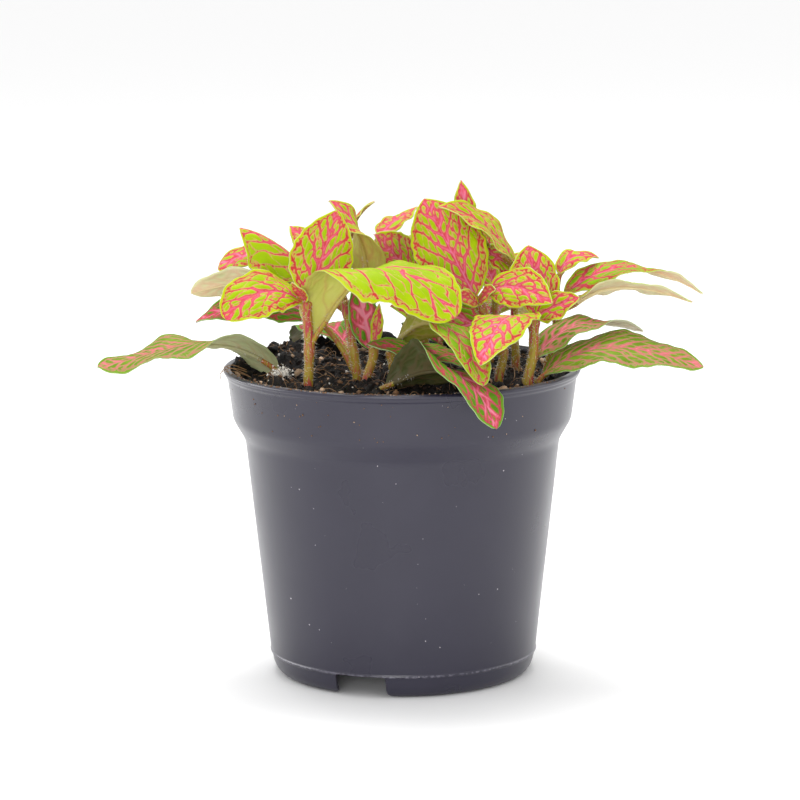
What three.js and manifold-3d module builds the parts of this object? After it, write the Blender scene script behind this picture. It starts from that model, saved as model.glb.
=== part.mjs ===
// Potted nerve plant (Fittonia) in a 12 cm nursery pot.
// Units are millimetres, +Z is up, the pot's axis is the Z axis and the pot stands on z = 0.
// The pot and the soil are turned solids. Every leafy stem is one solid: a stem, its petioles
// and its blades fused together. Old leaves that rise straight from the soil are solids too.
import * as THREE from 'three';
import { mergeVertices } from 'three/addons/utils/BufferGeometryUtils.js';
import Module from 'manifold-3d';

const wasm = await Module();
wasm.setup();
const { Manifold, Mesh } = wasm;

// ---------------------------------------------------------------- sizes
const SEGMENTS = 40;          // facets round the pot
const FLOOR = 7.3;            // underside of the pot's floor, and top of the foot notches
const WALL = 1.2;             // thickness of the pot's floor
const NOTCH_TURN = -19;       // the first foot notch, in degrees from the front (-Y)
const NOTCH_WIDTH = 17.4;
const NOTCH_FLARE = 1.8;      // radius that rounds off the foot ring at either side of a notch
const NOTCH_CORNER = 0.8;     // a notch's upper corners, cut off by this much
const DRAIN_HOLE = 8;         // diameter of the holes in the floor
const GAP = 0.3;              // room between the soil and what it touches
const SOIL_TOP = 101;         // mean level of the soil, 3 mm under the rim
const ROOT_Z = 88;            // the buried end of every stem
const BLADE = 0.7;            // thickness of a leaf blade
const BASE_HALF = 0.9;        // least half width of a blade at its base
const TIP_HALF = 0.45;        // and everywhere else
const PETIOLE = 0.05;         // share of a leaf's length that carries no blade, unless it is given

// ---------------------------------------------------------------- colours
const COLOURS = {
  pot: 0x55525e, soil: 0x2a231d, young: 0xb4d714, grown: 0xa0c828, old: 0x5f9a1a,
};

// ---------------------------------------------------------------- the plant, stem by stem
// foot: where the stem leaves the soil (x, y).  up: points the stem passes above the soil.
// A leaf starts on the stem and ends at its tip.  arch lifts the midrib above the straight line
// at one third and two thirds of the way, roll turns the blade about its midrib (degrees, from
// base to tip), fold lifts (+) or drops (-) both halves, curl bends their edges down, heading is
// the direction in which an upright leaf leans (degrees from +X), and petiole is the share of the
// length that carries no blade. A list of values is spread evenly from base to tip. peak is where
// the blade is widest, and small ends make it blunter.
const PLANT = [
  { node: 'stem_front_left', age: 'young', foot: [-31, -26], radius: 1.8,
    up: [[-30.5, -26, 115], [-31.5, -26, 130]],
    leaves: [
      // low to the left
      { base: [-31.5, -26, 129], tip: [-57, -42, 126], width: 19, arch: [8.5, 9], roll: [42, 42],
        peak: 0.52, ends: 1.1 },
      // the largest leaf, folded up along its midrib, so that its back faces the front
      { base: [-30.5, -26, 114], tip: [17, -48, 127], width: 35, arch: [19, 35],
        roll: [42, 50, 28, -15, -45], fold: [60, 40, 5, 0, 0], foldLeft: [60, 70, 30, 0, 0],
        curl: [0.1, 0.4, 0.8, 0.4, 0.2], curlLeft: [0.15, 0.15], petiole: 0.07, peak: 0.42, ends: 0.8 },
      // upright, face to the front
      { base: [-31.5, -26, 129], tip: [-21, -15, 158.5], width: 21.5, arch: [-3, -2], roll: [-8, -5],
        heading: 90, peak: 0.45 },
      // a leaf that is just opening
      { base: [-31.5, -27, 129], tip: [-36, -34, 137], width: 6, arch: [1, 1], roll: [0, 0] },
    ] },
  { node: 'stem_left', age: 'grown', foot: [-15, -10], radius: 1.6,
    up: [[-16.5, -10, 113], [-19, -6, 127]],
    leaves: [
      // three to the left, one above the other, and one behind
      { base: [-19, -6, 127], tip: [-54, -2, 151], width: 24, arch: [0, 6], roll: [35, 35],
        fold: [-45, -45], foldLeft: [-25, -25], petiole: 0.35, ends: 1.3 },
      { base: [-19, -6, 127], tip: [-62, 12, 136], width: 13, arch: [12, 14], roll: [35, 35],
        petiole: 0.66, peak: 0.55, ends: 0.9 },
      { base: [-18.5, -6, 123], tip: [-71, 6, 128], width: 14, arch: [12, 8], roll: [-55, -50],
        petiole: 0.4, peak: 0.55 },
      { base: [-19, -5, 127], tip: [-38, 18, 149], width: 10, arch: [4, 4], roll: [30, 30],
        petiole: 0.4 },
    ] },
  { node: 'stem_middle_left', age: 'grown', foot: [-12, -14], radius: 1.6,
    up: [[-9.5, -12, 110], [-11.5, -8, 121], [-12.5, -4, 130]],
    leaves: [
      // upright, edge-on and twisted
      { base: [-12, -4, 130], tip: [-24, -6, 160.5], width: 18, arch: [6, 8], roll: [-70, -50, 20, 50],
        petiole: 0.1 },
      // two narrow leaves leaning back
      { base: [-12, -4, 130], tip: [5.5, 26, 154.5], width: 10, arch: [16, 6], roll: [-40, 20],
        petiole: 0.4 },
      { base: [-12, -3.5, 128], tip: [-9, 14, 158], width: 7, arch: [4, 14], roll: [0, 0],
        heading: 0, petiole: 0.55 },
      // a bract half way up the stem, and a leaf close behind it
      { base: [-9.5, -13, 112], tip: [-7.5, -17, 127.5], width: 5, arch: [-1, -1], roll: [0, 0],
        heading: 60 },
      { base: [-9.5, -12, 110], tip: [-15.5, -9, 134], width: 11, arch: [1, 1], roll: [0, 0],
        heading: 95 },
    ] },
  { node: 'stem_front', age: 'grown', foot: [-3, -12], radius: 1.3,
    up: [[-4, -10.5, 111]],
    leaves: [
      // folded, hanging towards the front
      { base: [-4, -10.5, 110], tip: [26, -60, 107], width: 20, arch: [19, 22],
        roll: [75, 65, 0, -15], fold: [50, 45, 25, 30], foldLeft: [50, 40, 5, 0], petiole: 0.04,
        peak: 0.5, ends: 1.1 },
    ] },
  { node: 'stem_middle', age: 'young', foot: [32, -14], radius: 1.7,
    up: [[33.5, -12, 111], [28.5, -12, 121], [25.5, -12, 127]],
    leaves: [
      // broad and upright, face to the front
      { base: [25.5, -12, 127], tip: [7.5, 2, 160], width: 25, arch: [-2, 1], roll: [5, 5], heading: 95,
        peak: 0.5 },
      { base: [25.5, -12.5, 128], tip: [49, -32, 129.5], width: 16, arch: [8, 5], roll: [-50, -50],
        petiole: 0.15 },
      // the growing tip: two small leaves
      { base: [25.5, -13, 126], tip: [19, -26, 130], width: 7, arch: [2, 2], roll: [20, 20] },
      { base: [25.5, -13, 126], tip: [31, -22, 133], width: 7, arch: [2, 2], roll: [-20, -20] },
      // two lower ones to the left, in the shade
      { base: [33, -12.5, 110.5], tip: [-11.5, -37.5, 117], width: 16.5, arch: [-5, 0],
        roll: [10, 12, 22, 25], ends: 1.2 },
      { base: [31, -11, 116], tip: [-4, 1, 124], width: 18, arch: [3, 4], roll: [40, 50] },
    ] },
  { node: 'stem_front_right', age: 'young', foot: [41.5, -20], radius: 1.8,
    up: [[43.5, -18, 112], [43.5, -16, 122]],
    leaves: [
      // upright, face to the front
      { base: [45, -14.5, 121], tip: [42, -8, 145.5], width: 18, arch: [2, 3], roll: [0, 0],
        heading: 110, peak: 0.5 },
      { base: [43, -16, 121], tip: [58.5, -22, 130], width: 12, arch: [2, 1], roll: [-50, -50],
        petiole: 0.1 },
      // broad, hanging towards the front
      { base: [42, -16, 120], tip: [25, -62, 114], width: 21, arch: [10, 13], roll: [-5, 0],
        heading: -90, petiole: 0.12, ends: 1.3 },
    ] },
  { node: 'stem_top', age: 'young', foot: [38.5, 8], radius: 1.5,
    up: [[38, 7, 119], [38.5, 3, 136]],
    leaves: [
      // the highest, rising to the left
      { base: [38.5, 2, 136], tip: [12, -8, 158.5], width: 17, arch: [5, 7], roll: [32, 32],
        fold: [20, 20] },
      { base: [38.5, 2, 135], tip: [20, 4, 166], width: 8, arch: [-4, -7], roll: [30, 60],
        petiole: 0.6 },
      { base: [38.5, 3, 133], tip: [26.5, 0, 142], width: 13, arch: [3, 3], roll: [45, 45],
        petiole: 0.1 },
    ] },
  { node: 'stem_right', age: 'grown', foot: [48.5, 2], radius: 1.5,
    up: [[51, 0, 111], [52, 0, 120], [52, 0, 128]],
    leaves: [
      // two long ones that arch out to the right
      { base: [52, 0, 125.5], tip: [101.5, 6, 127], width: 17, arch: [15, 12],
        roll: [-35, -20, 12, 20] },
      { base: [52, -1, 120.5], tip: [97, -6, 126], width: 16, arch: [13, 8], roll: [-10, 20, 22, 20] },
      { base: [52, 1, 128], tip: [66.5, 10, 139], width: 10, arch: [10, 8], roll: [-22, -15],
        petiole: 0.2, peak: 0.5 },
    ] },
  { node: 'leaf_left', age: 'old', foot: [-40, -6], radius: 1.3, up: [],
    leaves: [
      { base: [-40, -6, 101], tip: [-101.5, -12, 106], width: 22, arch: [21, 4],
        roll: [-90, -12, 13, 15], petiole: 0.03, peak: 0.5, ends: 1.2, wave: -0.2 },
    ] },
  { node: 'leaf_back_left', age: 'old', foot: [-16, 0], radius: 1.2, up: [],
    leaves: [
      { base: [-16, 0, 101], tip: [-70, 14, 117], width: 22, arch: [24, 17], roll: [25, 42],
        foldLeft: [22, 22], petiole: 0.25 },
    ] },
  { node: 'leaf_front', age: 'old', foot: [-7.5, -32], radius: 1.3, up: [],
    leaves: [
      { base: [-7.5, -32, 101], tip: [30, -65.5, 94], width: 26, arch: [11.5, 24],
        roll: [70, 50, 0, -25], fold: [45, 35, 24, 25], foldLeft: [45, 35, 0, -5], peak: 0.5, ends: 1.2 },
    ] },
  { node: 'leaf_right_upper', age: 'old', foot: [41, -12], radius: 1.2, up: [],
    leaves: [
      { base: [41, -12, 101], tip: [80.5, -8, 116.5], width: 15, arch: [15, 13], roll: [-30, -30, -5, 45],
        petiole: 0.15, ends: 1.3 },
    ] },
  { node: 'leaf_right_lower', age: 'old', foot: [45, -16], radius: 1.3, up: [],
    leaves: [
      { base: [45, -16, 101], tip: [99.5, -22, 106.5], width: 22, arch: [16, 8], roll: [-20, -22],
        petiole: 0.04, peak: 0.45, ends: 1.25 },
    ] },
  // ---- the far side of the pot
  { node: 'stem_back', age: 'young', foot: [7, 20], radius: 1.7,
    up: [[8, 20.5, 117], [6, 19, 130]],
    leaves: [
      { base: [8, 20.5, 118], tip: [-14, 58, 114], width: 24, arch: [12, 10], roll: [5, 5] },
      { base: [8, 20.5, 118], tip: [26, 60, 120], width: 23, arch: [10, 10], roll: [-5, -5] },
      { base: [6, 19, 127.5], tip: [-9, -5, 149], width: 18, arch: [0, 2], roll: [55, 62],
        heading: 180 },
      { base: [6, 19, 129], tip: [12, 46, 146], width: 17, arch: [4, 4], roll: [-10, -10] },
    ] },
  { node: 'stem_back_right', age: 'grown', foot: [30, 26], radius: 1.6,
    up: [[31, 27, 114], [33, 27, 126]],
    leaves: [
      { base: [31, 27, 115], tip: [46, 66, 108], width: 21, arch: [12, 10], roll: [0, 0] },
      { base: [33, 27, 125], tip: [46, 48, 134], width: 17, arch: [4, 4], roll: [-20, -20] },
      { base: [33, 27, 125], tip: [24, 26, 148], width: 15, arch: [-2, 0], roll: [0, 0], heading: 120 },
    ] },
  { node: 'leaf_back', age: 'old', foot: [14, 40], radius: 1.2, up: [],
    leaves: [
      { base: [14, 40, 101], tip: [8, 67.6, 97], width: 22, arch: [15, 14], roll: [0, 0], petiole: 0.1 },
    ] },
  { node: 'leaf_back_corner', age: 'old', foot: [-17, 28], radius: 1.2, up: [],
    leaves: [
      { base: [-17, 28, 101], tip: [-38, 65, 100], width: 22, arch: [17, 10], roll: [0, 0],
        petiole: 0.1 },
    ] },
];

// ---------------------------------------------------------------- solids
// A closed three.js geometry as a solid. Merging joins a lathe's seam and its points on the axis,
// and the triangles that this flattens are left out.
function toSolid(geometry) {
  geometry.deleteAttribute('normal');
  geometry.deleteAttribute('uv');
  const merged = mergeVertices(geometry);
  const corners = merged.index.array;
  const triangles = [];
  for (let i = 0; i < corners.length; i += 3) {
    const [a, b, c] = corners.slice(i, i + 3);
    if (a !== b && b !== c && c !== a) triangles.push(a, b, c);
  }
  return new Manifold(new Mesh({
    numProp: 3, vertProperties: merged.getAttribute('position').array, triVerts: new Uint32Array(triangles),
  }));
}

const join = (solids) => solids.reduce((whole, solid) => whole.add(solid));

// A (radius, height) profile turned about the Z axis. It starts and ends on the axis.
function turned(profile, segments) {
  const points = profile.map(([radius, height]) => new THREE.Vector2(radius, height));
  return new THREE.LatheGeometry(points, segments).rotateX(Math.PI / 2);
}

function cylinder(x, y, bottom, top, radius, sides = 12) {
  return toSolid(new THREE.CylinderGeometry(radius, radius, top - bottom, sides)
    .rotateX(Math.PI / 2).translate(x, y, (bottom + top) / 2));
}

// A tube along a curve, closed at both ends.
function tube(curve, steps, radius, sides = 6) {
  const corner = (k) => {
    const angle = (2 * Math.PI * k) / sides;
    return new THREE.Vector2(radius * Math.cos(angle), radius * Math.sin(angle));
  };
  const section = new THREE.Shape(Array.from({ length: sides }, (_, k) => corner(k)));
  return toSolid(new THREE.ExtrudeGeometry(section, { extrudePath: curve, steps, bevelEnabled: false }));
}

// ---------------------------------------------------------------- one leaf
const UP = new THREE.Vector3(0, 0, 1);

// A number that changes from base to tip, given at evenly spaced places.
function along(keys, u) {
  const place = u * (keys.length - 1);
  const i = Math.min(Math.floor(place), keys.length - 2);
  return THREE.MathUtils.lerp(keys[i], keys[i + 1], place - i);
}

// Half width of a blade, as a share of its greatest: 0 at both ends and 1 at the peak.
function outline(v, { peak = 0.42, ends = 1.6 }) {
  const [a, b] = [ends * peak, ends * (1 - peak)];
  return (v ** a * (1 - v) ** b) / (peak ** a * (1 - peak) ** b);
}

function midrib({ base, tip, arch, heading }) {
  const start = new THREE.Vector3(...base);
  const chord = new THREE.Vector3(...tip).sub(start);
  const bearing = THREE.MathUtils.degToRad(heading ?? 0);
  const side = heading === undefined
    ? new THREE.Vector3().crossVectors(chord, UP).normalize()
    : new THREE.Vector3(Math.sin(bearing), -Math.cos(bearing), 0);
  const lift = new THREE.Vector3().crossVectors(side, chord).normalize();
  const knot = (share, height) => start.clone().addScaledVector(chord, share).addScaledVector(lift, height);
  return {
    side,
    curve: new THREE.CubicBezierCurve3(start, knot(0.33, arch[0]), knot(0.67, arch[1]), knot(1, 0)),
  };
}

// The middle surface of a blade: v runs from base to tip, t from -1 at one edge to 1 at the other.
function bladePoint(leaf, v, t) {
  const { side, curve } = midrib(leaf);
  const { width, roll, fold = [12, 8], foldLeft = fold } = leaf;
  const { petiole = PETIOLE, curl = [0.22, 0.22], curlLeft = curl, wave = 0.1 } = leaf;
  const u = petiole + (1 - petiole) * v;
  const tangent = curve.getTangent(u);
  const level = side.clone().addScaledVector(tangent, -side.dot(tangent)).normalize();
  const across = level.applyAxisAngle(tangent, -THREE.MathUtils.degToRad(along(roll, u)));
  const normal = new THREE.Vector3().crossVectors(across, tangent);
  const half = Math.max((width / 2) * outline(v, leaf), v > 0 ? TIP_HALF : BASE_HALF);
  const lift = THREE.MathUtils.degToRad(along(t > 0 ? fold : foldLeft, u));
  const sag = along(t > 0 ? curl : curlLeft, u) * t * t * half;
  const ripple = wave * (width / 2) * t * t * Math.sqrt(outline(v, leaf))
    * Math.sin(5 * Math.PI * v + (t < 0 ? 0 : 1.7));
  return curve.getPoint(u)
    .addScaledVector(across, t * half * Math.cos(lift))
    .addScaledVector(normal, Math.abs(t) * half * Math.sin(lift) - sag + ripple);
}

// The blade as a closed sheet: one plane grid bent into the upper face, the same grid, split into
// the same triangles, for the underside, and a strip of triangles round the edge between them.
function blade(leaf, rows, columns) {
  const sheet = new THREE.PlaneGeometry(2, 1, columns, rows);
  const flat = sheet.getAttribute('position');
  const across = columns + 1;
  const count = flat.count;
  const middle = [];
  for (let i = 0; i < count; i++) middle.push(bladePoint(leaf, 0.5 - flat.getY(i), flat.getX(i)));
  const normals = middle.map((_, i) => {
    const [row, column] = [Math.floor(i / across), i % across];
    const lengthwise = middle[Math.min(row + 1, rows) * across + column].clone()
      .sub(middle[Math.max(row - 1, 0) * across + column]);
    const crosswise = middle[row * across + Math.min(column + 1, columns)].clone()
      .sub(middle[row * across + Math.max(column - 1, 0)]);
    return crosswise.cross(lengthwise).normalize();
  });
  const face = (offset) => middle.map((point, i) => point.clone().addScaledVector(normals[i], offset));
  const triangles = [];
  const grid = sheet.index.array;
  for (let i = 0; i < grid.length; i += 3) {
    const [a, b, c] = grid.slice(i, i + 3);
    triangles.push(a, c, b, count + a, count + b, count + c);
  }
  const edge = [];
  for (let j = 0; j < columns; j++) edge.push(j);
  for (let i = 0; i < rows; i++) edge.push(i * across + columns);
  for (let j = columns; j > 0; j--) edge.push(rows * across + j);
  for (let i = rows; i > 0; i--) edge.push(i * across);
  edge.forEach((a, k) => {
    const b = edge[(k + 1) % edge.length];
    triangles.push(b, a, count + a, b, count + a, count + b);
  });
  const closed = new THREE.BufferGeometry().setFromPoints([...face(BLADE / 2), ...face(-BLADE / 2)]);
  closed.setIndex(triangles);
  return toSolid(closed);
}

function leafSolid(leaf) {
  const { petiole = PETIOLE, width } = leaf;
  const { curve } = midrib(leaf);
  const reach = Math.min(petiole + 0.18, 0.9);                // the rib runs on under the blade
  const steps = Math.max(2, Math.round(reach * 6));
  const points = Array.from({ length: steps + 1 }, (_, i) => curve.getPoint((reach * i) / steps));
  const rib = tube(new THREE.CatmullRomCurve3(points), steps, width > 9 ? 1 : 0.7, 5);
  return blade(leaf, width > 12 ? 7 : 5, width > 8 ? 4 : 2).add(rib);
}

// ---------------------------------------------------------------- stems
function leafyStem({ foot: [x, y], radius, up, leaves }) {
  const parts = [cylinder(x, y, ROOT_Z, SOIL_TOP + radius, radius, 8)];
  if (up.length) {
    const knots = [[x, y, SOIL_TOP], ...up].map((place) => new THREE.Vector3(...place));
    const curve = new THREE.CatmullRomCurve3(knots, false, 'centripetal');
    parts.push(tube(curve, 2 * knots.length - 1, radius));
  }
  for (const leaf of leaves) parts.push(leafSolid(leaf));
  return join(parts);
}

// ---------------------------------------------------------------- soil
const lumps = (x, y) => 0.8 * Math.sin(0.21 * x + 0.4) * Math.cos(0.17 * y - 0.3)
  + 0.7 * Math.sin(0.37 * y + 0.29 * x + 1.1) + 0.8 * Math.cos(0.5 * x - 0.4 * y)
  + 0.7 * Math.sin(0.18 * x + 0.58 * y + 2);

// The soil sinks a little at the front right, is heaped up at the back left, and lies low
// round every stem.
function soilHeight(x, y) {
  const sunk = Math.max(0, (x - y) / 60 - 0.4);
  const heaped = Math.max(0, (y - x) / 60 - 0.4);
  let height = SOIL_TOP + lumps(x, y) - 1.5 * sunk + 5 * heaped;
  for (const { foot } of PLANT) {
    const near = Math.hypot(x - foot[0], y - foot[1]) / 10;
    if (near < 1) height = THREE.MathUtils.lerp(Math.min(height, SOIL_TOP - 1), height, near * near);
  }
  return height;
}

function soilSolid() {
  const rings = [56.5, 50, 44.5, 39, 33.5, 28, 22.5, 17, 11.5, 6, 0];
  const heap = turned([
    [0, FLOOR + WALL + GAP], [43.3, FLOOR + WALL + GAP], [51, 80.1], [55, 87], [56.2, 95],
    ...rings.map((radius) => [radius, SOIL_TOP]),
  ], SEGMENTS);
  const place = heap.getAttribute('position');
  for (let i = 0; i < place.count; i++) {
    if (place.getZ(i) > SOIL_TOP - 1) place.setZ(i, soilHeight(place.getX(i), place.getY(i)));
  }
  const holes = PLANT.map(({ foot: [x, y], radius }) =>
    cylinder(x, y, ROOT_Z - GAP, SOIL_TOP + 20, radius + GAP + 0.1, 8));
  return toSolid(heap).subtract(join(holes));
}

// ---------------------------------------------------------------- pot
// A notch in the foot ring, cut inwards from the outside: nearly square at the top, and flared
// at the bottom, where the ends of the ring are rounded off.
function notch() {
  const half = NOTCH_WIDTH / 2;
  const corner = FLOOR - NOTCH_CORNER;
  const outer = half + NOTCH_FLARE;
  const opening = new THREE.Shape();
  opening.moveTo(-outer, -1);
  opening.lineTo(outer, -1);
  opening.lineTo(outer, 0);
  opening.absarc(outer, NOTCH_FLARE, NOTCH_FLARE, -Math.PI / 2, -Math.PI, true);
  opening.lineTo(half, corner);
  opening.lineTo(half - NOTCH_CORNER, FLOOR);
  opening.lineTo(NOTCH_CORNER - half, FLOOR);
  opening.lineTo(-half, corner);
  opening.absarc(-outer, NOTCH_FLARE, NOTCH_FLARE, 0, -Math.PI / 2, true);
  const depth = 13;
  return new THREE.ExtrudeGeometry(opening, { depth, steps: 1, curveSegments: 3, bevelEnabled: false })
    .rotateX(Math.PI / 2).translate(0, -37, 0);
}

function potSolid() {
  const shell = turned([
    [0, FLOOR], [43.3, FLOOR], [42.7, 3.6], [39.9, 0],                                      // inside of the foot
    [41, 0], [42.6, 1], [43.9, 3.1], [44.7, 6.9],                                           // outside of the foot
    [45.3, 7.4], [45, 7.9], [52.9, 79.9], [56.9, 86.8], [58.7, 101.2],                      // body and collar
    [59.7, 102], [60, 103], [59.4, 104], [57.6, 104],                                       // lip
    [57.4, 100.5], [55.7, 86.9], [51.7, 80.2], [43.9, FLOOR + WALL], [0, FLOOR + WALL],     // inside
  ], SEGMENTS);
  const cuts = [cylinder(0, 0, 0, 20, DRAIN_HOLE / 2)];
  for (const turn of [0, 120, 240]) {
    const angle = THREE.MathUtils.degToRad(NOTCH_TURN + turn);
    cuts.push(toSolid(notch().rotateZ(angle)));
    cuts.push(cylinder(30 * Math.sin(angle), -30 * Math.cos(angle), 0, 20, DRAIN_HOLE / 2));
  }
  return toSolid(shell).subtract(join(cuts));
}

// ---------------------------------------------------------------- named meshes
function meshOf(name, solid, material) {
  const { vertProperties, triVerts } = solid.getMesh();
  const geometry = new THREE.BufferGeometry();
  geometry.setAttribute('position', new THREE.BufferAttribute(vertProperties, 3));
  geometry.setIndex(new THREE.BufferAttribute(triVerts, 1));
  geometry.computeVertexNormals();
  const mesh = new THREE.Mesh(geometry, material);
  mesh.name = name;
  return mesh;
}

const plastic = (color) => new THREE.MeshStandardMaterial({ color, roughness: 0.45 });
const matt = (color) => new THREE.MeshStandardMaterial({ color, roughness: 0.9 });

const part = new THREE.Group();
part.name = 'potted_nerve_plant';
part.add(meshOf('pot', potSolid(), plastic(COLOURS.pot)));
part.add(meshOf('soil', soilSolid(), matt(COLOURS.soil)));
for (const plant of PLANT) part.add(meshOf(plant.node, leafyStem(plant), matt(COLOURS[plant.age])));

export default part;
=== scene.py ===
# %% [markdown]
# # A potted nerve plant
# A nerve plant (Fittonia) is a low plant with broad, hairy, net-veined leaves. This one stands in
# a plain nursery pot filled with peat. Its young leaves are lime-yellow with a pink net, its old
# ones green with wide pink veins. The frame holds a plain solid for the pot, the soil and each
# leafy stem. This script replaces each of them with a finer piece of the same form.

import math

import bmesh
import bpy
import numpy as np
from numpy.random import default_rng
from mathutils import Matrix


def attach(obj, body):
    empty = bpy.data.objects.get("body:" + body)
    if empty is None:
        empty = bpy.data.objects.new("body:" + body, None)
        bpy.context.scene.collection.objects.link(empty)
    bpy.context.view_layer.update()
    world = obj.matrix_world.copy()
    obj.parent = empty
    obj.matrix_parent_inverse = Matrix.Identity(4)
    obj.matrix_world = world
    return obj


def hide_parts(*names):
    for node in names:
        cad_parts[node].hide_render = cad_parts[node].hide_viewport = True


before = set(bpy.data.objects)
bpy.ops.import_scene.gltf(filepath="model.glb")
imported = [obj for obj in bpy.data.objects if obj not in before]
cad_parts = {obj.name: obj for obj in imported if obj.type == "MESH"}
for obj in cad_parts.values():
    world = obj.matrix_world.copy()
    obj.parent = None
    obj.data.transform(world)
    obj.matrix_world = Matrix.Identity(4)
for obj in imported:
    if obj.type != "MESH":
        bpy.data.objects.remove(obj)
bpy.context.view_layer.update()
MM = 0.001
print("nodes in the frame:", len(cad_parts))

# %% [markdown]
# ## Camera, floor and light
# The plant is seen from the front and a little above, from 1.2 m away through a long lens, so the
# perspective is weak. Big soft lights and a pale surrounding leave only gentle shadows, and let
# both flanks of the dark pot catch a grey sheen.

# %% Camera
def new_object(name, data):
    """An object in the scene."""
    made = bpy.data.objects.new(name, data)
    bpy.context.collection.objects.link(made)
    return made


camera_data = bpy.data.cameras.new("camera")
camera_data.lens = 164.3
camera_data.sensor_width = 36
camera = new_object("camera", camera_data)
camera.location = (-0.7 * MM, -1211 * MM, 302 * MM)
camera.rotation_euler = (math.radians(90 - 9.83), math.radians(0.25), math.radians(-0.04))
bpy.context.scene.camera = camera


# %% [markdown]
# ## Three helpers for materials
# Colours are hex values, as in a paint program, and one function converts them to the linear
# light that the renderer calculates in. A second one adds a shader node with its settings and
# links, so each material is short enough to read as a recipe. A third one does what all
# materials have in common, around such a recipe.

# %% Colour and node helpers
def colour(code):
    """A hex colour as linear RGBA."""
    parts = [int(code[i:i + 2], 16) / 255 for i in (1, 3, 5)]
    return [p / 12.92 if p <= 0.04045 else ((p + 0.055) / 1.055) ** 2.4 for p in parts] + [1]


def add(tree, kind, inputs=(), stops=(), **settings):
    """A shader node. An input is a value, a hex colour, a socket, or a node's first output in use.

    Inputs go by name or number, or in a list by their order, which for MapRange is the value, from
    min, from max, to min, to max. Every Mix node here mixes two colours, its inputs 6 and 7.
    Settings are the node's own, and stops are the places and colours of a ramp.
    """
    made = tree.nodes.new("ShaderNode" + kind)
    if kind == "Mix":
        made.data_type = "RGBA"
    for name, value in settings.items():
        setattr(made, name, value)
    named = inputs if isinstance(inputs, dict) else dict(enumerate(inputs))
    for name, value in named.items():
        if isinstance(value, bpy.types.Node):
            value = next(socket for socket in value.outputs if socket.enabled)
        if isinstance(value, str):
            value = colour(value)
        if isinstance(value, bpy.types.NodeSocket):
            tree.links.new(value, made.inputs[name])
        else:
            made.inputs[name].default_value = value
    for i, (place, code) in enumerate(stops):
        elements = made.color_ramp.elements
        element = elements[i] if i < 2 else elements.new(place)
        element.position = place
        element.color = colour(code)
    return made


def material(name, recipe, *choices):
    """A material. Its recipe gets the node tree and the place on the object and returns a shader."""
    made = bpy.data.materials.new(name)
    made.use_nodes = True
    tree = made.node_tree
    tree.nodes.clear()
    place = add(tree, "TexCoord").outputs["Object"]
    add(tree, "OutputMaterial", {"Surface": recipe(tree, place, *choices)})
    return made


# %% Floor and lights
def area_light(name, place, aim, size, power):
    """A square soft box at place that faces aim, all in metres."""
    data = bpy.data.lights.new(name, "AREA")
    data.size = size
    data.energy = power
    made = new_object(name, data)
    made.location = place
    away = np.subtract(place, aim)
    across = math.hypot(away[0], away[1])
    made.rotation_euler = (math.atan2(across, away[2]), 0, math.atan2(away[0], -away[1]))
    return made


area_light("key", (-0.05, 0.32, 1.2), (0, 0, 0.1), 0.7, 11.5)
area_light("low_fill", (-0.2, -1.5, 0.24), (0, 0, 0.12), 0.6, 10)
for side, power in ((-1, 14), (1, 5)):
    sheen = area_light("edge_sheen", (side * 1.0, 0.3, 0.25), (0, 0, 0.08), 1.0, power)
    sheen.visible_diffuse = False
world = bpy.data.worlds.new("studio")
bpy.context.scene.world = world
world.use_nodes = True
surrounding = world.node_tree.nodes["Background"]
surrounding.inputs["Color"].default_value = colour("#FFFFFF")
surrounding.inputs["Strength"].default_value = 1.0
bpy.context.scene.view_settings.view_transform = "Standard"


def white_paper(tree, place):
    """Matt white paper."""
    return add(tree, "BsdfPrincipled", {"Base Color": "#FAFAFA", "Roughness": 0.9})


bpy.ops.mesh.primitive_plane_add(size=14, location=(0, 2, -0.0002))
floor = bpy.context.object
floor.name = "floor"
floor.data.materials.append(material("white_paper", white_paper))


# %% [markdown]
# ## Building meshes from number arrays
# Leaves, stems, soil and hairs have many thousands of small faces that follow a rule, so each is
# worked out as arrays of points and handed to Blender in one go, which is fast. A piece collects
# such parts and keeps, for every point, the numbers that its materials read, such as the distance
# to the nearest vein.

# %% A collector for mesh parts
class Piece:
    """Collects points (in mm), faces and numbers per point, and makes one mesh object of them."""

    def __init__(self, materials, numbers=()):
        self.materials = materials
        self.points, self.faces, self.slots = [], [], []
        self.numbers = {name: [] for name in numbers}
        self.count = 0

    def take(self, points, faces, material, **numbers):
        """Adds a part. faces is an array of point indices, with 3 or 4 in a row."""
        points = np.asarray(points, float).reshape(-1, 3)
        self.points.append(points)
        self.faces.append(np.asarray(faces) + self.count)
        self.slots.append(np.full(len(faces), self.materials.index(material)))
        for name, kept in self.numbers.items():
            kept.append(np.broadcast_to(np.ravel(numbers.get(name, 0.0)), len(points)))
        self.count += len(points)

    def make(self, name, *nodes, slot):
        """The finished object, which stands for the CAD nodes and hides them. The slot is not used."""
        mesh = bpy.data.meshes.new(name)
        faces = [face for part in self.faces for face in part.tolist()]
        mesh.from_pydata((np.concatenate(self.points) * MM).tolist(), [], faces)
        for made in self.materials:
            mesh.materials.append(made)
        mesh.polygons.foreach_set("material_index", np.concatenate(self.slots))
        mesh.shade_smooth()
        for number, kept in self.numbers.items():
            mesh.attributes.new(number, "FLOAT", "POINT").data.foreach_set("value", np.concatenate(kept))
        made = new_object(name, mesh)
        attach(made, "root")
        if nodes:
            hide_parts(*nodes)
        print(f"{name}: {sum(len(face) - 2 for face in faces)} triangles")
        return made


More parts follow.
